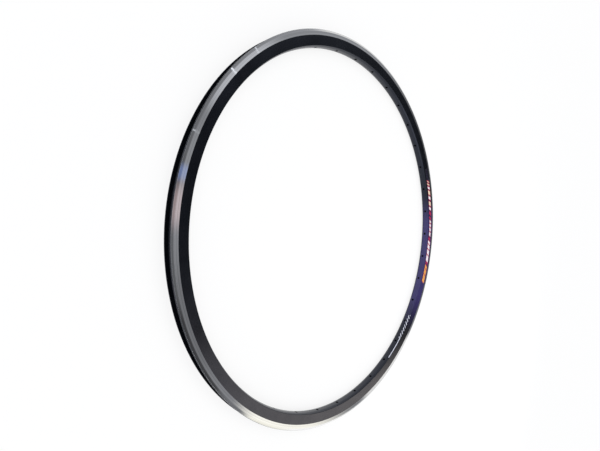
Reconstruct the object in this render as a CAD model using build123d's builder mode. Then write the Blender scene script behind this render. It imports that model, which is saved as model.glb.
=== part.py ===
from build123d import *
import os

# Bicycle rim for rim brakes, in millimetres. The hoop's axis is Z and its mid-plane is z = 0.
# The rim lies on its -Z side, and the decal is on the flank of its +Z side.

# Hoop and the outside of its section
bead_seat_diameter = 622.0
flange_height = 6.0
section_depth = 23.8
track_width = 18.4
track_height = 5.3
taper_height = 3.0
taper_inset = 1.0
bevel_height = 0.5
bevel_inset = 0.7
flank_inset = 2.4
bed_rise = 1.4
bed_land_width = 6.4

# Tyre channel
crest_land = 1.0
hook_height = 1.5
hook_slope = 0.7
hook_overhang = 0.8
well_depth = 3.0
well_width = 7.8
well_shoulder = 1.3

# Walls round the hollow chamber
bridge_thickness = 1.2
seat_thickness = 1.6
flank_thickness = 1.0
bed_thickness = 2.2

# Drillings
spoke_count = 36
first_spoke_angle = 8.5
spoke_hole_diameter = 4.4
access_hole_diameter = 7.0
valve_hole_diameter = 6.6
spokes_before_valve = 17

# Decal film
decal_start_angle = -23.0
decal_end_angle = 27.0
decal_height = 8.4
decal_above_crease = 2.4
decal_thickness = 0.15
decal_adhesive = 0.05
decal_corner = 3.0

# Radii and half widths that follow from the sizes above
seat_radius = bead_seat_diameter / 2
crest_radius = seat_radius + flange_height
well_radius = seat_radius - well_depth
roof_radius = well_radius - bridge_thickness
bevel_radius = crest_radius - bevel_height
taper_radius = bevel_radius - taper_height
track_radius = taper_radius - track_height
bed_radius = crest_radius - section_depth
crease_radius = bed_radius + bed_rise
floor_radius = bed_radius + bed_thickness
hook_radius = crest_radius - hook_height
track_half = track_width / 2
taper_half = track_half - taper_inset
crest_half = taper_half - bevel_inset
hook_half = crest_half - crest_land
channel_half = hook_half + hook_overhang
crease_half = track_half - flank_inset
flank_lean = flank_inset / (track_radius - crease_radius)
valve_angle = first_spoke_angle + (spokes_before_valve + 0.5) * 360 / spoke_count


def flank_at(radius, raised=0.0):
    """The half width of the flank's surface at a radius, or of a surface raised above it."""
    return crease_half + (radius - crease_radius) * flank_lean + raised


def land(radius, width):
    """A drilled wall across the section, level with the hoop's axis."""
    return Line((radius, -width / 2), (radius, width / 2))


os.makedirs("parts", exist_ok=True)

# Rim: an extruded double-wall section, rolled into a hoop, welded, turned on its brake tracks and drilled
with BuildPart() as rim:
    with BuildSketch(Plane.XZ):
        with BuildLine():
            well = land(well_radius, well_width)
            bed = land(bed_radius, bed_land_width)
            side = Polyline(
                well @ 1,
                (seat_radius, well_width / 2 + well_shoulder),
                (seat_radius, channel_half),
                (hook_radius - hook_slope, channel_half),
                (hook_radius, hook_half),
                (crest_radius, hook_half),
                (crest_radius, crest_half),
                (bevel_radius, taper_half),
                (taper_radius, track_half),
                (track_radius, track_half),
                (crease_radius, crease_half),
                bed @ 1,
            )
            mirror(side, about=Plane.XZ)
        make_face()
        with BuildLine():
            roof = land(roof_radius, well_width)
            floor = land(floor_radius, 2 * flank_at(floor_radius, -flank_thickness))
            wall = Polyline(
                roof @ 1,
                (seat_radius - seat_thickness, channel_half),
                (track_radius, flank_at(track_radius, -flank_thickness)),
                floor @ 1,
            )
            mirror(wall, about=Plane.XZ)
        make_face(mode=Mode.SUBTRACT)
    revolve(axis=Axis.Z)

    # Each spoke hole in the bed faces a wider hole in the bridge, which lets the nipple in
    with PolarLocations(bed_radius, spoke_count, start_angle=first_spoke_angle):
        spoke_drill = 2 * (bed_rise + bed_thickness)
        Cylinder(spoke_hole_diameter / 2, spoke_drill, rotation=(0, 90, 0), mode=Mode.SUBTRACT)
    with PolarLocations(well_radius, spoke_count, start_angle=first_spoke_angle):
        access_drill = 2 * (well_depth + bridge_thickness)
        Cylinder(access_hole_diameter / 2, access_drill, rotation=(0, 90, 0), mode=Mode.SUBTRACT)

    # The valve hole runs through both walls, midway between two spoke holes
    with PolarLocations((bed_radius + well_radius) / 2, 1, start_angle=valve_angle):
        Cylinder(valve_hole_diameter / 2, section_depth, rotation=(0, 90, 0), mode=Mode.SUBTRACT)
rim.part.label = "rim"
export_step(rim.part, "parts/rim.step")

# Decal: a printed vinyl film along part of the flank, on a thin bed of adhesive
with BuildPart() as decal:
    film_foot = crease_radius + decal_above_crease
    film_top = film_foot + decal_height
    film_under = decal_adhesive
    film_over = decal_adhesive + decal_thickness
    decal_angle = decal_end_angle - decal_start_angle
    with BuildSketch() as outline:
        with BuildLine():
            foot = CenterArc((0, 0), film_foot, decal_start_angle, decal_angle)
            top = CenterArc((0, 0), film_top, decal_start_angle, decal_angle)
            Line(foot @ 0, top @ 0)
            Line(foot @ 1, top @ 1)
        make_face()
        fillet(outline.vertices(), decal_corner)
    extrude(amount=track_width)
    with BuildSketch(Plane.XZ):
        with BuildLine():
            Polyline(
                (crease_radius, flank_at(crease_radius, film_under)),
                (track_radius, flank_at(track_radius, film_under)),
                (track_radius, flank_at(track_radius, film_over)),
                (crease_radius, flank_at(crease_radius, film_over)),
                close=True,
            )
        make_face()
    revolve(axis=Axis.Z, mode=Mode.INTERSECT)
decal.part.label = "decal"
export_step(decal.part, "parts/decal.step")
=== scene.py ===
import bpy
import numpy as np
from mathutils import Matrix, Vector


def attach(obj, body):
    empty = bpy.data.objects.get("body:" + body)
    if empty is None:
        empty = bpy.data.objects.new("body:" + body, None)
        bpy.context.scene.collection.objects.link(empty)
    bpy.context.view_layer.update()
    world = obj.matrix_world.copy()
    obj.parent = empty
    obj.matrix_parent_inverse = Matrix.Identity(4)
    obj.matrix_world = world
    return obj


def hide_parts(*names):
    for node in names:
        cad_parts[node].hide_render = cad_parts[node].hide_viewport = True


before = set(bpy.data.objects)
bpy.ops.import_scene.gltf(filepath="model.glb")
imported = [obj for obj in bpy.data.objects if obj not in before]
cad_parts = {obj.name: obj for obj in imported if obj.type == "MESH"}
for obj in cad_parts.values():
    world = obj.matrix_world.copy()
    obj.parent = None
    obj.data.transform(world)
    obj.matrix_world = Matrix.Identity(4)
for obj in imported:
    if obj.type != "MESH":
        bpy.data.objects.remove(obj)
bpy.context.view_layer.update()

# Rim.
# One double-wall aluminium section, extruded, rolled into a hoop and welded. It is drilled for the
# spokes, their nipples and the valve, black anodised, and turned bright on its two brake tracks.
MM = 0.001

# Half of the section in millimetres, from the middle of the spoke bed round the outside to the middle
# of the well. Each row is a corner's radius from the hub, its distance from the mid-plane and the
# radius of its rounding.
section = np.array([
    (293.2, 0.0, 0.0),   # middle of the spoke bed
    (293.2, 3.2, 9.0),   # edge of the drilled land, which arches over
    (294.6, 6.8, 0.9),   # crease between bed and flank
    (308.2, 9.2, 0.3),   # foot of the brake track
    (313.5, 9.2, 0.4),   # line from which the track tapers
    (316.5, 8.2, 0.3),   # outer edge of the turned metal
    (317.0, 7.5, 0.45),  # crest of the lip
    (317.0, 6.5, 0.45),
    (315.5, 6.5, 0.4),   # nose of the hook
    (314.8, 7.3, 0.35),
    (311.0, 7.3, 0.8),   # bead seat
    (311.0, 5.2, 0.6),
    (308.0, 3.9, 0.5),   # edge of the well
    (308.0, 0.0, 0.0),   # middle of the well
])
crease, track_foot, taper_line, turned_edge = section[2:6, :2]
land_radius, well_radius = section[0, 0], section[-1, 0]
# The hollow's walls in the same way, from the middle of its floor to the middle of its roof.
hollow = np.array([
    (295.4, 0.0, 0.0),
    (295.4, 5.94, 0.5),
    (308.2, 8.2, 0.5),
    (309.4, 7.3, 0.5),
    (306.8, 3.9, 0.25),
    (306.8, 0.0, 0.0),
])
floor_radius, roof_radius = hollow[0, 0], hollow[-1, 0]

# Drillings: their radii in millimetres and their places round the hoop in radians.
spoke_bore, access_bore, valve_bore = 2.2, 3.5, 3.3
soft_edge = 0.2      # rounding of a drilled edge in the bed
spoke_mouth, valve_mouth = spoke_bore + soft_edge, valve_bore + soft_edge
spoke_count = 36
first_spoke = np.radians(8.5)
pitch = 2 * np.pi / spoke_count
spokes = first_spoke + pitch * np.arange(spoke_count)
valve_gap = 17       # the gap between spokes, counted from 0, in which the valve stands
valve_place = first_spoke + (valve_gap + 0.5) * pitch


def rounded(corners, steps):
    """Arcs in place of an outline's inner corners: rows of radius, width and the normal's two parts.

    Each arc is tangent to both sides of its corner. It starts at its radius times tan(half the turn)
    before the corner, and its points turn evenly from the first side's normal, left of the way, to the
    second's."""
    points, radii = corners[:, :2], corners[1:-1, 2:]
    along = np.diff(points, axis=0)
    along /= np.linalg.norm(along, axis=1, keepdims=True)
    before, after = along[:-1], along[1:]
    sine = before[:, 0] * after[:, 1] - before[:, 1] * after[:, 0]
    turn = np.arctan2(sine, (before * after).sum(axis=1))[:, None]
    left = np.stack([-before[:, 1], before[:, 0]], axis=1)
    bulge = -np.sign(turn) * radii
    centre = points[1:-1] - before * radii * np.tan(np.abs(turn) / 2) - bulge * left
    swing = turn * np.linspace(0, 1, steps)
    normal = np.stack([
        left[:, :1] * np.cos(swing) - left[:, 1:] * np.sin(swing),
        left[:, :1] * np.sin(swing) + left[:, 1:] * np.cos(swing),
    ], axis=2)
    return np.concatenate([centre[:, None] + bulge[:, None] * normal, normal], axis=2)


def level(radius, widths, facing):
    """Rows of a drilled wall at one radius and the given widths. It faces away from the hub or to it."""
    none = 0 * widths
    return np.stack([none + radius, widths, none + facing, none], axis=1)


def whole_section(half):
    """Both halves of a section as one closed run of rows, which starts halfway round its lower side.

    With it come the numbers of the rows in the middle of the bed and in the middle of the well."""
    other_half = half[-2:0:-1] * (1, -1, 1, -1)
    shift = len(other_half) // 2
    return np.roll(np.concatenate([half, other_half]), shift, axis=0), shift, shift + len(half) - 1


# The bed's curve: a level land in the middle, an arc, and a straight slope to the crease.
arch, crease_arc = rounded(section, steps=41)[:2]
bed_middle = np.concatenate([section[0, :2], arch[0, 2:]])
bed_curve = np.vstack([bed_middle, arch, crease_arc[:1]])


def on_bed(widths):
    """The bed's radius and normal at distances from the mid-plane, read off its curve, on both sides."""
    radius, inward, sideways = (
        np.interp(np.abs(widths), bed_curve[:, 1], bed_curve[:, column]) for column in (0, 2, 3))
    return radius, inward, sideways * np.sign(widths)


# Rows of the mesh bend round the holes. Past a hole's reach from the mid-plane they run straight on.
# The bed and the hollow's floor have one reach for the spoke holes and another for the valve hole.
cells = 8            # mesh cells across a hole
hole_rows = np.linspace(0, 1, cells // 2 + 1)
beside_holes = (3.1, 3.8, 4.7)
bed_reaches = (beside_holes[0], beside_holes[-1])
floor_reaches = (beside_holes[0], 5.3)
well_reach = 3.55
bed_widths = np.concatenate([hole_rows * spoke_mouth, beside_holes])
bed_radius, bed_inward, bed_sideways = on_bed(bed_widths)
outer_half = np.concatenate([
    np.stack([bed_radius, bed_widths, bed_inward, bed_sideways], axis=1),
    rounded(section, steps=4)[1:].reshape(-1, 4),
    level(well_radius, hole_rows[::-1] * access_bore, 1.0),
])
inner_half = np.concatenate([
    level(floor_radius, np.append(hole_rows * spoke_bore, floor_reaches[0]), -1.0),
    rounded(hollow, steps=2).reshape(-1, 4),
    level(roof_radius, np.append(well_reach, hole_rows[::-1] * access_bore), 1.0),
])
outer_rows, outer_bed, outer_well = whole_section(outer_half)
inner_rows, inner_bed, inner_well = whole_section(inner_half)

# Columns stand close together at the holes and further apart between them. Halves and reaches are
# lengths along the bed, turned into angles.
spoke_half, spoke_reach = spoke_mouth / land_radius, 8.0 / land_radius
valve_half, valve_reach = valve_mouth / land_radius, 9.0 / land_radius


def hole_columns(half, reach):
    """Columns at one hole: evenly across it, then two fifths of the way to its reach, and at its reach."""
    beside = np.array([0.4 * reach + 0.6 * half, reach])
    return np.concatenate([-beside[::-1], np.linspace(-1, 1, cells + 1) * half, beside])


gap_columns = spoke_reach + (pitch - 2 * spoke_reach) * np.array([0.25, 0.5, 0.75])
plain_gaps = np.delete(spokes, valve_gap)
columns = np.sort(np.concatenate([
    (spokes[:, None] + hole_columns(spoke_half, spoke_reach)).ravel(),
    (plain_gaps[:, None] + gap_columns).ravel(),
    valve_place + hole_columns(valve_half, valve_reach),
]))
hair = 1e-6          # radians, far less than the space between columns
spoke_first = np.searchsorted(columns, spokes - spoke_half - hair)
valve_first = np.searchsorted(columns, [valve_place - valve_half - hair])


def drilled(angle, width, radius, centre, spacing, half, reach, bore):
    """Grid points moved so that the square of cells at each hole becomes its circle.

    The nearest point of the square goes to the circle along the line from the hole's centre. A point
    takes a share of that move, which falls evenly from one at the square to nothing at the reach."""
    offset = angle - centre
    offset = offset - spacing * np.round(offset / spacing)
    x, y = offset / half[0], width / half[1]
    near_x, near_y = np.clip(x, -1, 1), np.clip(y, -1, 1)
    length = np.maximum(np.hypot(near_x, near_y), 1e-9)
    away_x = (np.abs(x) - 1) / (reach[0] / half[0] - 1)
    away_y = (np.abs(y) - 1) / (reach[1] / half[1] - 1)
    share = 1 - np.clip(np.maximum(away_x, away_y), 0, 1)
    angle = angle + share * near_x * (bore / radius / length - half[0])
    width = width + share * near_y * (bore / length - half[1])
    return angle, width


def hoop(rows, bed_row, well_row, bed_half, bed_bores, reaches_there, arched):
    """A section carried round the hub, with its holes: angle, width, radius and normal of every point.

    Rows near the middle of the bed and near the middle of the well move to make their holes round.
    Bores and reaches are a spoke hole's and the valve hole's."""
    angle = np.tile(columns, (len(rows), 1))
    radius, width, outward, sideways = (
        np.repeat(rows[:, part:part + 1], len(columns), axis=1) for part in range(4))
    number = np.arange(len(rows))[:, None]
    in_bed = (np.abs(number - bed_row) <= len(bed_widths)) & (np.abs(width) <= max(reaches_there))
    in_well = (np.abs(number - well_row) <= cells) & (np.abs(width) <= well_reach)
    hole_kinds = (
        (first_spoke, pitch, spoke_half, spoke_reach),
        (valve_place, 2 * np.pi, valve_half, valve_reach),
    )
    for inside, half, bores, reaches in (
        (in_bed, bed_half, bed_bores, reaches_there),
        (in_well, access_bore, (access_bore, valve_bore), (well_reach, well_reach)),
    ):
        for (place, spacing, side, run), bore, reach in zip(hole_kinds, bores, reaches):
            moved_angle, moved_width = drilled(
                angle, width, radius, place, spacing, (side, half), (run, reach), bore)
            angle = np.where(inside, moved_angle, angle)
            width = np.where(inside, moved_width, width)
    if arched:
        arch_radius, arch_inward, arch_sideways = on_bed(width)
        radius = np.where(in_bed, arch_radius, radius)
        outward = np.where(in_bed, arch_inward, outward)
        sideways = np.where(in_bed, arch_sideways, sideways)
    return angle, width, radius, outward, sideways


def placed(angle, width, radius):
    """Points from their angle round the hub, distance from the mid-plane and radius."""
    return np.stack([radius * np.cos(angle), radius * np.sin(angle), width + 0 * angle], axis=-1)


def corners_of(grid):
    """The values at the four corners of every cell of a grid, in turn round the cell."""
    return np.stack([grid[:-1, :-1], grid[1:, :-1], grid[1:, 1:], grid[:-1, 1:]], axis=2)


def closed_cells(grid):
    """Corners of every cell of a grid that runs on from its last row and column to its first."""
    return corners_of(np.pad(grid, ((0, 1), (0, 1)) + ((0, 0),) * (grid.ndim - 2), mode="wrap"))


def kept_cells(shape, bed_row, well_row):
    """True for every cell of a grid that the holes leave in place."""
    kept = np.ones(shape, bool)
    step = np.arange(cells) - cells // 2
    for firsts in (spoke_first, valve_first):
        wide = (firsts[:, None] + np.arange(cells)).ravel()
        for middle in (bed_row, well_row):
            kept[np.ix_(middle + step, wide)] = False
    return kept


def surface_map(shape, lengths, whole):
    """Map places of a closed grid's cells, without a seam: lengths round the section and the hoop."""
    u = np.append(lengths, whole)[:, None] + np.zeros(shape[1] + 1)
    v = np.append(columns, columns[0] + 2 * np.pi) * taper_line[0] + np.zeros((shape[0] + 1, 1))
    return corners_of(np.stack([u, v], axis=2))


def edge_of(rows, columns_wide):
    """Row and column steps once round the edge of a block of cells."""
    down, wide = np.arange(rows), np.arange(columns_wide)
    row = np.concatenate([0 * wide, down, 0 * wide + rows, rows - down])
    column = np.concatenate([wide, 0 * down + columns_wide, columns_wide - wide, 0 * down])
    return row, column


def wall_cells(near, far):
    """Corners of the cells between two rings round each hole."""
    return np.stack([near, far, np.roll(far, -1, axis=1), np.roll(near, -1, axis=1)], axis=2)


# The outside and the hollow are two grids of points, with their numbers, places and normals.
outer = hoop(outer_rows, outer_bed, outer_well, spoke_mouth, (spoke_mouth, valve_mouth),
             bed_reaches, arched=True)
inner = hoop(inner_rows, inner_bed, inner_well, spoke_bore, (spoke_bore, valve_bore),
             floor_reaches, arched=False)
grids = []
first_point = 0
for (angle, width, radius, outward, sideways), facing in ((outer, 1), (inner, -1)):
    numbers = first_point + np.arange(angle.size).reshape(angle.shape)
    first_point += angle.size
    normals = facing * placed(angle, sideways, outward)
    grids.append((numbers, placed(angle, width, radius), normals))
(outer_numbers, outer_points, outer_normals), (inner_numbers, inner_points, inner_normals) = grids

# Faces between the foot of the brake track and the outer edge of the turned metal are turned.
outside_channel = 7.9    # more than the tyre channel's half width
margin = 0.02            # keeps faces that lie along a limit on one side of it
cell_radius = closed_cells(outer[2]).mean(axis=2)
cell_width = np.abs(closed_cells(outer[1]).mean(axis=2))
past_foot, before_edge = cell_radius > track_foot[0] + margin, cell_radius < turned_edge[0] + margin
turned = past_foot & before_edge & (cell_width > outside_channel)

row_steps = np.linalg.norm(np.diff(outer_rows[:, :2], axis=0), axis=1)
outer_lengths = np.concatenate([[0], np.cumsum(row_steps)])
outer_round = outer_lengths[-1] + np.linalg.norm(outer_rows[0, :2] - outer_rows[-1, :2])
hollow_step = 1.5        # mean distance between the hollow's rows, near enough inside
inner_lengths = np.arange(len(inner_rows)) * hollow_step
inner_round = len(inner_rows) * hollow_step
outer_kept = kept_cells(outer_numbers.shape, outer_bed, outer_well)
inner_kept = kept_cells(inner_numbers.shape, inner_bed, inner_well)
outer_map = surface_map(outer_numbers.shape, outer_lengths, outer_round)
inner_map = surface_map(inner_numbers.shape, inner_lengths, inner_round)

# Parts of the mesh: for every face its points, normals and map places, and whether it is turned.
parts = [
    (closed_cells(outer_numbers)[outer_kept], closed_cells(outer_normals)[outer_kept],
     outer_map[outer_kept], turned[outer_kept]),
    (closed_cells(inner_numbers)[inner_kept][:, ::-1], closed_cells(inner_normals)[inner_kept][:, ::-1],
     inner_map[inner_kept][:, ::-1], np.zeros(inner_kept.sum(), bool)),
]

# The walls of the holes join the two grids. In the bed two more rings of points round the mouths.
loop_row, loop_column = edge_of(cells, cells)
extra_points = []
for firsts, places in ((spoke_first, spokes), (valve_first, np.array([valve_place]))):
    drill_way = np.stack([np.cos(places), np.sin(places), 0 * places], axis=1)[:, None]
    for outer_row, inner_row, swings in (
        (outer_bed, inner_bed, (np.pi / 4, np.pi / 2)),
        (outer_well, inner_well, ()),
    ):
        column_at = firsts[:, None] + loop_column
        mouth = (outer_row + loop_row - cells // 2, column_at)
        inside = (inner_row + loop_row - cells // 2, column_at)
        mouth_points, mouth_normals = outer_points[mouth], outer_normals[mouth]
        from_axis = mouth_points - (mouth_points * drill_way).sum(axis=2, keepdims=True) * drill_way
        wall = -from_axis / np.linalg.norm(from_axis, axis=2, keepdims=True)
        rings, facings = [outer_numbers[mouth]], [mouth_normals if swings else wall]
        for swing in swings:
            ring = mouth_points + soft_edge * (np.sin(swing) * wall + (1 - np.cos(swing)) * drill_way)
            rings.append(first_point + np.arange(ring[..., 0].size).reshape(ring.shape[:2]))
            facings.append(np.cos(swing) * mouth_normals + np.sin(swing) * wall)
            extra_points.append(ring.reshape(-1, 3))
            first_point += ring[..., 0].size
        rings.append(inner_numbers[inside])
        facings.append(wall)
        for k in range(len(rings) - 1):
            quads = wall_cells(rings[k], rings[k + 1]).reshape(-1, 4)
            quad_normals = wall_cells(facings[k], facings[k + 1]).reshape(-1, 4, 3)
            parts.append((quads, quad_normals, quad_normals[..., :2], np.zeros(len(quads), bool)))

points = np.concatenate([outer_points.reshape(-1, 3), inner_points.reshape(-1, 3)] + extra_points)
corners, normals, maps, turned_faces = (np.concatenate(group) for group in zip(*parts))
normals /= np.linalg.norm(normals, axis=2, keepdims=True)
in_use, corners = np.unique(corners, return_inverse=True)
points, corners = points[in_use], corners.reshape(-1, 4)


def linear(colour):
    """A colour written as sRGB hex, as the linear values that a shader takes."""
    levels = np.array([int(colour[k:k + 2], 16) for k in (1, 3, 5)]) / 255
    return (*np.where(levels > 0.04045, ((levels + 0.055) / 1.055) ** 2.4, levels / 12.92), 1.0)


def add_node(tree, kind, inputs, **settings):
    """Adds a node with its settings. An input is a plain value, or an output of another node to link."""
    node = tree.nodes.new(kind)
    for name, value in settings.items():
        setattr(node, name, value)
    for socket, value in inputs.items():
        if isinstance(value, bpy.types.NodeSocket):
            tree.links.new(value, node.inputs[socket])
        else:
            node.inputs[socket].default_value = value
    return node


def new_finish(name):
    """An empty material and its node tree."""
    material = bpy.data.materials.new(name)
    material.use_nodes = True
    material.node_tree.nodes.clear()
    return material, material.node_tree


def ramp(value, start, end):
    """A soft step: nothing before one value and one after another, rising along an S between them."""
    return add_node(value.id_data, "ShaderNodeMapRange", {
        "Value": value, "From Min": start, "From Max": end, "To Min": 0.0, "To Max": 1.0},
        interpolation_type="SMOOTHSTEP").outputs[0]


def product(*factors):
    """The product of several node outputs."""
    result = factors[0]
    for factor in factors[1:]:
        result = add_node(
            factor.id_data, "ShaderNodeMath", {0: result, 1: factor}, operation="MULTIPLY").outputs[0]
    return result


def length_to(radius, width):
    """Length round the section, in metres, to the row nearest to a corner's radius and width."""
    return MM * outer_lengths[np.argmin(np.hypot(outer_rows[:, 0] - radius, outer_rows[:, 1] - width))]


# Black anodised aluminium: a dyed oxide skin, satin from etching, so it is dark with a soft shine.
# Faint lines from the extrusion die run along the hoop, 0.5 mm apart, and the etch varies over a few
# centimetres. Beside the decal the colour fades from black to indigo on the bed and the flank: this is a
# painted indigo sheen.
die_pitch, die_run, etch_patch = 0.5 * MM, 400 * MM, 30 * MM
anodised, tree = new_finish("black_anodised_aluminium")
surface = add_node(tree, "ShaderNodeUVMap", {}, uv_map="surface")
die_places = add_node(tree, "ShaderNodeMapping", {
    "Vector": surface.outputs[0], "Scale": (1 / die_pitch, 1 / die_run, 1)})
die_lines = add_node(tree, "ShaderNodeTexNoise", {
    "Vector": die_places.outputs[0], "Scale": 1.0, "Detail": 1.0}, noise_dimensions="2D")
die_relief = add_node(tree, "ShaderNodeBump", {
    "Height": die_lines.outputs[0], "Strength": 0.1, "Distance": 0.02 * MM})
place = add_node(tree, "ShaderNodeTexCoord", {})
etch = add_node(tree, "ShaderNodeTexNoise", {
    "Vector": place.outputs["Object"], "Scale": 1 / etch_patch, "Detail": 3.0})
etch_roughness = add_node(tree, "ShaderNodeMapRange", {
    "Value": etch.outputs[0], "From Min": 0.3, "From Max": 0.7, "To Min": 0.2, "To Max": 0.27})
axes = add_node(tree, "ShaderNodeSeparateXYZ", {0: place.outputs["Object"]})
turn = add_node(
    tree, "ShaderNodeMath", {0: axes.outputs[1], 1: axes.outputs[0]}, operation="ARCTAN2").outputs[0]
lengths = add_node(tree, "ShaderNodeSeparateXYZ", {0: surface.outputs[0]})
round_section, round_hoop = lengths.outputs[0], lengths.outputs[1]
crease_front, crease_back = length_to(*crease), length_to(*crease * (1, -1))
flank_top = length_to(*track_foot)
# Painted indigo sheen: the bed and the flank beside the decal turn indigo in the colour itself.
painted_indigo_sheen = product(
    ramp(turn, np.radians(-46), np.radians(-27)),
    ramp(turn, np.radians(17), np.radians(2)),
    ramp(round_section, crease_back, crease_back + 4 * MM),
    ramp(round_section, flank_top, flank_top - 0.3 * MM),
)

# The engraved marks show bare and pale on the bed's slope beside the decal: a thin rule along the
# hoop, and from its end a row of slanted strokes.
stroke_pitch, stroke_slant = 4.0 * MM, 1.8
stroke_place = add_node(tree, "ShaderNodeMath", {
    0: round_section, 1: stroke_slant, 2: round_hoop}, operation="MULTIPLY_ADD").outputs[0]
stroke_phase = add_node(
    tree, "ShaderNodeMath", {0: stroke_place, 1: stroke_pitch}, operation="PINGPONG").outputs[0]
strokes = product(
    ramp(turn, np.radians(-50), np.radians(-49.9)),
    ramp(turn, np.radians(-38.5), np.radians(-38.6)),
    ramp(round_section, crease_front - 4.4 * MM, crease_front - 4.3 * MM),
    ramp(round_section, crease_front - 0.3 * MM, crease_front - 0.4 * MM),
    ramp(stroke_phase, 0.40 * stroke_pitch, 0.36 * stroke_pitch),
)
rule = product(
    ramp(turn, np.radians(-60), np.radians(-59.9)),
    ramp(turn, np.radians(-49), np.radians(-50)),
    ramp(round_section, crease_front - 2.0 * MM, crease_front - 1.9 * MM),
    ramp(round_section, crease_front - 0.6 * MM, crease_front - 0.7 * MM),
)
engraved = add_node(tree, "ShaderNodeMath", {0: strokes, 1: rule}, operation="MAXIMUM").outputs[0]
colour_here = add_node(tree, "ShaderNodeMix", {
    "Factor": etch.outputs[0], "A": linear("#090b0e"), "B": linear("#0e1015")}, data_type="RGBA")
# The indigo here is a painted sheen. The pale marks are engraved.
for share, colour in ((painted_indigo_sheen, "#393261"), (engraved, "#dfe2ee")):
    colour_here = add_node(tree, "ShaderNodeMix", {
        "Factor": share, "A": colour_here.outputs[2], "B": linear(colour)}, data_type="RGBA")
skin = add_node(tree, "ShaderNodeBsdfPrincipled", {
    "Base Color": colour_here.outputs[2], "Roughness": etch_roughness.outputs[0],
    "Normal": die_relief.outputs[0], "Metallic": 0.0, "IOR": 1.55, "Specular Tint": linear("#c3cbe6")})
add_node(tree, "ShaderNodeOutputMaterial", {"Surface": skin.outputs[0]})

# Bare aluminium turned on a lathe: fine grooves run round the hoop, so a lamp shows as a bright bar
# across the track. Their widths go from 1.2 mm down to 0.15 mm, which is about the lathe's feed.
groove_width, groove_run = 1.2 * MM, 1500 * MM
turned_metal, tree = new_finish("turned_aluminium")
surface = add_node(tree, "ShaderNodeUVMap", {}, uv_map="surface")
groove_places = add_node(tree, "ShaderNodeMapping", {
    "Vector": surface.outputs[0], "Scale": (1 / groove_width, 1 / groove_run, 1)})
grooves = add_node(tree, "ShaderNodeTexNoise", {
    "Vector": groove_places.outputs[0], "Scale": 1.0, "Detail": 3.0}, noise_dimensions="2D")
groove_relief = add_node(tree, "ShaderNodeBump", {
    "Height": grooves.outputs[0], "Strength": 0.8, "Distance": 0.02 * MM})
groove_tone = add_node(tree, "ShaderNodeMix", {
    "Factor": grooves.outputs[0], "A": linear("#aeaeae"), "B": linear("#ececec")}, data_type="RGBA")
groove_way = add_node(tree, "ShaderNodeTangent", {}, direction_type="UV_MAP", uv_map="surface")
metal = add_node(tree, "ShaderNodeBsdfPrincipled", {
    "Base Color": groove_tone.outputs[2], "Metallic": 1.0, "Roughness": 0.06, "Anisotropic": 1.0,
    "Normal": groove_relief.outputs[0], "Tangent": groove_way.outputs[0]})
add_node(tree, "ShaderNodeOutputMaterial", {"Surface": metal.outputs[0]})


def piece_from(name, points, corners, normals, maps, kinds, materials):
    """A mesh object from points in millimetres and, for every face corner, its point, normal and map
    place. Kinds gives each face's material."""
    mesh = bpy.data.meshes.new(name)
    mesh.from_pydata((points * MM).tolist(), [], corners.tolist())
    for material in materials:
        mesh.materials.append(material)
    mesh.polygons.foreach_set("material_index", kinds.astype(np.int32))
    mesh.uv_layers.new(name="surface").uv.foreach_set("vector", (maps * MM).ravel())
    mesh.normals_split_custom_set(normals.reshape(-1, 3))
    piece = bpy.data.objects.new(name, mesh)
    bpy.context.scene.collection.objects.link(piece)
    return piece


rim = piece_from("rim_hoop", points, corners, normals, maps, turned_faces, [anodised, turned_metal])
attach(rim, "root")
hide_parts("rim")

# Decal.
# A strip of vinyl film with rounded corners, printed with slanted bars on an indigo field under a
# clear gloss, and stuck along the flank of the upper side.
film_start, film_end = np.radians(-23.0), np.radians(27.0)
film_foot, film_height, film_corner = 297.0, 8.4, 3.0
film_under, film_over = 0.05, 0.2
film_middle = film_foot + film_height / 2
film_length = (film_end - film_start) * film_middle
flank_lean = (track_foot[1] - crease[1]) / (track_foot[0] - crease[0])

# Columns of the film stand closer at its rounded corners, where its edges are pulled in along an arc.
corner_columns, straight_columns, film_rows = 9, 121, 7
corner_steps = film_corner * (1 - np.cos(np.linspace(0, np.pi / 2, corner_columns)))
straight_steps = np.linspace(film_corner, film_length - film_corner, straight_columns)[1:-1]
film_along = np.concatenate([corner_steps, straight_steps, film_length - corner_steps[::-1]])
to_end = np.minimum(film_along, film_length - film_along)
to_arc = film_corner - np.minimum(to_end, film_corner)
pulled_in = film_corner - np.sqrt(film_corner ** 2 - to_arc ** 2)
film_across = pulled_in + np.linspace(0, 1, film_rows)[:, None] * (film_height - 2 * pulled_in)
film_angle = film_start + film_along / film_middle + 0 * film_across


def film_sheet(raised):
    """A face of the film: the flank's cone, raised, between the film's foot and its top."""
    radius = film_foot + film_across
    return placed(film_angle, crease[1] + (radius - crease[0]) * flank_lean + raised, radius)


def edge_cells(upper, lower):
    """Corners of the cells between two runs round an edge."""
    return np.stack([upper, np.roll(upper, -1, axis=0), np.roll(lower, -1, axis=0), lower], axis=1)


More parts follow.
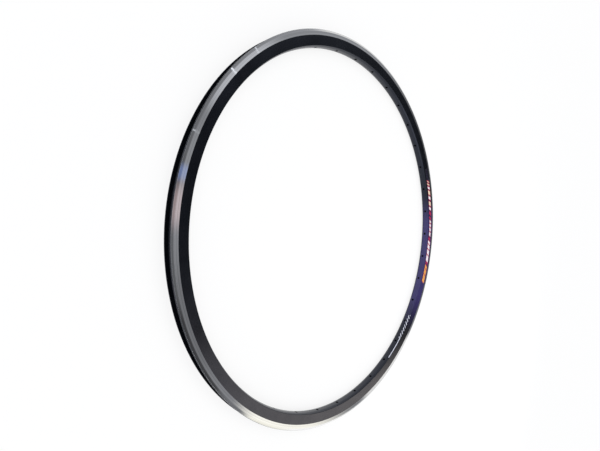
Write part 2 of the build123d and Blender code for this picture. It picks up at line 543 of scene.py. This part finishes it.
film_points = np.stack([film_sheet(film_over), film_sheet(film_under)])
film_numbers = np.arange(film_points[..., 0].size).reshape(film_points.shape[:3])
film_up = placed(film_angle, np.cos(np.arctan(flank_lean)), -np.sin(np.arctan(flank_lean)))
film_map = np.stack([film_along + 0 * film_across, film_across], axis=2)
edge_row, edge_column = edge_of(film_across.shape[0] - 1, film_across.shape[1] - 1)
edge_numbers = film_numbers[:, edge_row, edge_column]
edge_points = film_points[0, edge_row, edge_column]
edge_way = np.roll(edge_points, -1, axis=0) - np.roll(edge_points, 1, axis=0)
edge_out = np.cross(edge_way, film_up[edge_row, edge_column])
edge_out /= np.linalg.norm(edge_out, axis=1, keepdims=True)
edge_map = film_map[edge_row, edge_column]
up_corners = corners_of(film_up).reshape(-1, 4, 3)
map_corners = corners_of(film_map).reshape(-1, 4, 2)
film_parts = [
    (corners_of(film_numbers[0]).reshape(-1, 4), up_corners, map_corners),
    (corners_of(film_numbers[1]).reshape(-1, 4)[:, ::-1], -up_corners[:, ::-1], map_corners[:, ::-1]),
    (edge_cells(*edge_numbers), edge_cells(edge_out, edge_out), edge_cells(edge_map, edge_map)),
]
film_corners, film_normals, film_maps = (np.concatenate(group) for group in zip(*film_parts))

# Printed vinyl: flat inks under a clear coat, so its colours are even and have a gloss over them. The
# map gives each place's distance along and across the film.
print_colours = {
    "indigo": "#393261", "night": "#191823", "crimson": "#b02551", "white": "#f4eaee",
    "orange": "#e9a44f", "cream": "#efd6b8"}
bar_slant = 0.7
vinyl, tree = new_finish("printed_vinyl_film")
surface = add_node(tree, "ShaderNodeUVMap", {}, uv_map="surface")
place = add_node(tree, "ShaderNodeSeparateXYZ", {0: surface.outputs[0]})
along, across = place.outputs[0], place.outputs[1]
slanted = add_node(
    tree, "ShaderNodeMath", {0: across, 1: bar_slant, 2: along}, operation="MULTIPLY_ADD").outputs[0]


def between(value, low, high):
    """An ink's field: one where a distance lies between two sizes in millimetres, nothing elsewhere."""
    middle, half = (low + high) / 2 * MM, (high - low) / 2 * MM
    return add_node(
        value.id_data, "ShaderNodeMath", {0: value, 1: middle, 2: half}, operation="COMPARE").outputs[0]


def inked(under, colour, foot, top, start, end):
    """Prints a slanted bar of a colour over another. Its foot, top and two ends are in millimetres."""
    bar = product(between(across, foot, top), between(slanted, start, end))
    return add_node(under.id_data, "ShaderNodeMix", {
        "Factor": bar, "A": under, "B": linear(print_colours[colour])}, data_type="RGBA").outputs[2]


# Groups of bars on a field that darkens along the film: their ink, foot and top, and the start and
# width of each, in millimetres. They are edged in crimson, and more crimson bars stand between them.
bars = (
    ("orange", 0.7, 7.7, ((5, 16), (23, 11), (36, 7))),
    ("white", 0.7, 7.7, ((53, 13), (69, 10), (82, 8), (93, 6))),
    ("white", 2.6, 7.3, ((112, 8), (123, 7), (133, 6), (142, 5))),
    ("white", 1.4, 7.4, ((171, 6), (195, 7), (219, 5))),
    ("cream", 1.4, 7.4, ((181, 9), (206, 9), (228, 3), (235, 2))),
)
edging, edging_ends = 0.5, 1.5
crimson_bars = ((47, 4), (102, 6), (150, 5), (159, 8))
crimson_foot, crimson_top = 0.9, 7.5
field = add_node(tree, "ShaderNodeMapRange", {
    "Value": along, "From Min": 0.0, "From Max": film_length * MM, "To Min": 0.0, "To Max": 1.0})
ink = add_node(tree, "ShaderNodeMix", {
    "Factor": field.outputs[0], "A": linear(print_colours["indigo"]),
    "B": linear(print_colours["night"])}, data_type="RGBA").outputs[2]
for colour, foot, top, places in bars:
    for start, wide in places:
        end = start + wide
        ink = inked(ink, "crimson", foot - edging, top + edging, start - edging_ends, end + edging_ends)
for start, wide in crimson_bars:
    ink = inked(ink, "crimson", crimson_foot, crimson_top, start, start + wide)
for colour, foot, top, places in bars:
    for start, wide in places:
        ink = inked(ink, colour, foot, top, start, start + wide)
film = add_node(tree, "ShaderNodeBsdfPrincipled", {
    "Base Color": ink, "Roughness": 0.3, "IOR": 1.5, "Coat Weight": 0.4, "Coat Roughness": 0.12})
add_node(tree, "ShaderNodeOutputMaterial", {"Surface": film.outputs[0]})

decal = piece_from("decal_film", film_points.reshape(-1, 3), film_corners, film_normals, film_maps,
                   np.zeros(len(film_corners)), [vinyl])
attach(decal, "root")
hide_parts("decal")

# Studio.
# A wide white floor on which the rim lies, a pale surround, soft lamps over the far side and a
# wide-angle camera close to the left of the hoop, turned so that the hoop stands upright in its frame.
floor_half = 30.0
floor_level = section[:, 1].max() * -MM
floor_mesh = bpy.data.meshes.new("floor")
floor_mesh.from_pydata(
    [(x * floor_half, y * floor_half, floor_level) for x, y in ((-1, -1), (1, -1), (1, 1), (-1, 1))],
    [], [(0, 1, 2, 3)])

# White paint on a floor lit from within, so that it looks even and shadows on it stay faint. It glows
# as much in a mirror as in the camera.
glow_share = 0.8
white_floor, tree = new_finish("white_studio_floor")
paint = add_node(tree, "ShaderNodeBsdfDiffuse", {"Color": linear("#f9f9f9")})
glow = add_node(tree, "ShaderNodeEmission", {"Color": linear("#ffffff"), "Strength": 1.0})
ray = add_node(tree, "ShaderNodeLightPath", {})
seen = ray.outputs["Is Camera Ray"]
for kind in ("Is Glossy Ray", "Is Transmission Ray"):
    seen = add_node(
        tree, "ShaderNodeMath", {0: seen, 1: ray.outputs[kind]}, operation="MAXIMUM").outputs[0]
glowing = add_node(tree, "ShaderNodeMath", {0: seen, 1: glow_share}, operation="MULTIPLY").outputs[0]
lit = add_node(tree, "ShaderNodeMixShader", {0: glowing, 1: paint.outputs[0], 2: glow.outputs[0]})
add_node(tree, "ShaderNodeOutputMaterial", {"Surface": lit.outputs[0]})
floor_mesh.materials.append(white_floor)
floor = bpy.data.objects.new("floor", floor_mesh)
bpy.context.scene.collection.objects.link(floor)

# The surround is white at the horizon and behind the camera, and dimmer above. Dark cards and soft
# glows in it are what the flank and the brake track mirror.
world = bpy.data.worlds.new("studio")
bpy.context.scene.world = world
world.use_nodes = True
tree = world.node_tree
tree.nodes.clear()
way = add_node(tree, "ShaderNodeTexCoord", {}).outputs["Generated"]
heading = add_node(tree, "ShaderNodeSeparateXYZ", {0: way})


def toward(direction, edge, core):
    """A soft round patch of the surround: one at its core and nothing past its edge, both cosines."""
    middle = Vector(direction).normalized()
    cosine = add_node(way.id_data, "ShaderNodeVectorMath", {0: way, 1: middle}, operation="DOT_PRODUCT")
    return ramp(cosine.outputs["Value"], edge, core)


def with_patch(level_there, patch, strength):
    """The surround's level with a patch of light added at a strength."""
    return add_node(patch.id_data, "ShaderNodeMath", {
        0: patch, 1: strength, 2: level_there}, operation="MULTIPLY_ADD").outputs[0]


wall_lean, wall_level = (0.30, 0.15, 0.0), 0.18
wall = add_node(tree, "ShaderNodeVectorMath", {0: way, 1: wall_lean}, operation="DOT_PRODUCT")
above = add_node(tree, "ShaderNodeMath", {
    0: wall.outputs["Value"], 1: wall_level}, operation="ADD", use_clamp=True).outputs[0]
for direction, edge, core, change in (
    ((0.737, -0.03, 0.675), 0.95, 0.985, -0.88),
    ((0.905, 0.06, 0.43), 0.915, 0.99, -0.72),
):
    above = product(above, with_patch(1.0, toward(direction, edge, core), change))
for direction, edge, core, strength in (
    ((0.532, 0.357, 0.768), 0.989, 0.9994, 0.4),
    ((0.449, 0.034, 0.893), 0.970, 0.998, 0.10),
    ((0.52, -0.475, 0.71), 0.988, 0.9998, 0.10),
    ((0.203, -0.781, 0.59), 0.986, 0.9995, 0.15),
    ((-0.18, -0.18, 0.965), 0.950, 0.995, 0.09),
    ((0.13, -0.12, 0.984), 0.965, 0.992, 0.9),
):
    above = with_patch(above, toward(direction, edge, core), strength)
behind, horizon = ramp(heading.outputs[0], -0.22, -0.6), ramp(heading.outputs[2], 0.40, 0.30)
above = with_patch(above, behind, 0.75)
bright = add_node(tree, "ShaderNodeMix", {
    "Factor": horizon, "A": above, "B": 1.0}, data_type="FLOAT").outputs[0]
for direction, edge, core, strength in (
    ((0.58, -0.78, 0.24), 0.97, 0.997, 0.4),
    ((-0.3, -0.94, 0.17), 0.85, 0.98, 0.7),
):
    bright = with_patch(bright, toward(direction, edge, core), strength)
tint = add_node(tree, "ShaderNodeMix", {
    "Factor": horizon, "A": linear("#f4f7ff"), "B": linear("#ffffff")}, data_type="RGBA")
sky = add_node(tree, "ShaderNodeBackground", {"Color": tint.outputs[2], "Strength": bright})
add_node(tree, "ShaderNodeOutputWorld", {"Surface": sky.outputs[0]})


def softbox(name, centre, target, along, size, soft, brightness, colour):
    """A lamp at a place, facing another, with its wide side as near as can be to a direction.

    It is evenly bright, and fades along an S at its edges: over shares of its width at the start and
    at the end of it, and over a share of its height at both ends."""
    wide, tall = size
    lamp = bpy.data.lights.new(name, "AREA")
    lamp.shape = "RECTANGLE"
    lamp.size, lamp.size_y = wide, tall
    lamp.energy = brightness * np.pi * wide * tall
    lamp.color = linear(colour)[:3]
    lamp.use_nodes = True
    lamp.node_tree.nodes.clear()
    spot = add_node(lamp.node_tree, "ShaderNodeNewGeometry", {})
    sides = add_node(lamp.node_tree, "ShaderNodeSeparateXYZ", {0: spot.outputs["Parametric"]}).outputs
    fade = product(
        ramp(sides[0], 0.0, soft[0]), ramp(sides[0], 1.0, 1 - soft[1]),
        ramp(sides[1], 0.0, soft[2]), ramp(sides[1], 1.0, 1 - soft[2]))
    glow = add_node(lamp.node_tree, "ShaderNodeEmission", {"Strength": fade})
    add_node(lamp.node_tree, "ShaderNodeOutputLight", {"Surface": glow.outputs[0]})
    away = (Vector(centre) - Vector(target)).normalized()
    side = (Vector(along) - Vector(along).dot(away) * away).normalized()
    facing = Matrix((side, away.cross(side), away)).transposed().to_4x4()
    stand = bpy.data.objects.new(name, lamp)
    stand.matrix_world = Matrix.Translation(centre) @ facing
    stand.visible_camera = False
    bpy.context.scene.collection.objects.link(stand)


# Panels over the far side, which light the flank and the track at the bottom of the picture.
softbox("flank_panel", centre=(0.95, -0.68, 0.93), target=(0.0, -0.27, 0.0),
        along=(1.0, 0.0, 0.0), size=(0.60, 0.36), soft=(0.1, 0.1, 0.1),
        brightness=2.4, colour="#fff2e2")
softbox("track_panel", centre=(0.499, -1.167, 0.693), target=(-0.05, -0.30, 0.0),
        along=(0.628, -0.157, -0.761), size=(0.64, 1.0), soft=(0.24, 0.41, 0.15),
        brightness=1.2, colour="#fffcee")
softbox("right_panel", centre=(1.26, -0.80, 0.66), target=(0.15, -0.26, 0.0),
        along=(0.265, 0.25, -0.06), size=(0.48, 0.34), soft=(0.15, 0.15, 0.15),
        brightness=0.75, colour="#fffdf8")

# Thin lamps and two tinted ones show as bars across the track and its taper at the left of the
# picture. Each stands where that side mirrors it to the camera.
camera_place = np.array([-0.4924, 0.0292, 0.3758])
bar_distance, bar_width, bar_lean = 1.4, 0.3, 3.0


def mirrored(place, lower, upper, lean=0.0):
    """The middle of a side of the section at an angle round the hoop, and where a lamp shows in it.

    The side runs between two corners of the section. The sight line from the camera turns about the
    side's normal, which leans outwards by the degrees given."""
    radius, width = (lower + upper) / 2 * MM
    run = upper - lower
    slope = np.arctan2(-run[1], run[0]) + np.radians(lean)
    outward = np.array([np.cos(place), np.sin(place), 0.0])
    normal = np.sin(slope) * outward + np.cos(slope) * np.array([0.0, 0.0, 1.0])
    spot = radius * outward + np.array([0.0, 0.0, width])
    sight = (spot - camera_place) / np.linalg.norm(spot - camera_place)
    return spot, spot + bar_distance * (sight - 2 * sight.dot(normal) * normal)


# Each bar's angle round the hoop and the angle that it covers, in degrees, its colour, and how bright
# it is on each side.
bars_seen = (
    (132.0, 0.4, "#f0f6ff", {"track": 0.7, "taper": 1.1}),
    (141.0, 0.4, "#f0f6ff", {"track": 1.3, "taper": 2.0}),
    (158.2, 0.4, "#f0f6ff", {"track": 0.3, "taper": 0.8}),
    (167.2, 5.0, "#7ba6ff", {"track": 0.36, "taper": 0.36}),
    (173.8, 13.0, "#ffdcdc", {"track": 0.40, "taper": 0.33}),
)
for side, *ends in (("track", track_foot, taper_line), ("taper", taper_line, turned_edge)):
    for degrees, spread, colour, brightness in bars_seen:
        place, half = np.radians(degrees), np.radians(spread) / 2
        spot, lamp_place = mirrored(place, *ends)
        thick = np.linalg.norm(mirrored(place + half, *ends)[1] - mirrored(place - half, *ends)[1])
        along_side = mirrored(place, *ends, bar_lean)[1] - mirrored(place, *ends, -bar_lean)[1]
        softbox(f"{side}_bar_{degrees:.0f}", lamp_place, spot, along_side, size=(bar_width, thick),
                soft=(0.1, 0.1, 0.4), brightness=brightness[side], colour=colour)

# An even fill from overhead, which lights colours at a plain level and doesn't show in the metal.
fill_level = 0.54
fill = bpy.data.lights.new("overhead_fill", "SUN")
fill.energy = fill_level * np.pi
fill.angle = np.radians(110)
overhead = bpy.data.objects.new("overhead_fill", fill)
overhead.visible_glossy = False
bpy.context.scene.collection.objects.link(overhead)

yaw, tilt = np.radians(45.26), np.radians(2.75)
lens = bpy.data.cameras.new("camera")
lens.sensor_width = 36.0
lens.lens = 21.6
lens.clip_end = 200.0
camera = bpy.data.objects.new("camera", lens)
bpy.context.scene.collection.objects.link(camera)
camera.matrix_world = (Matrix.Translation(camera_place)
                       @ Matrix.Rotation(-tilt, 4, "X") @ Matrix.Rotation(-yaw, 4, "Y"))
bpy.context.scene.camera = camera
bpy.context.scene.view_settings.view_transform = "Standard"
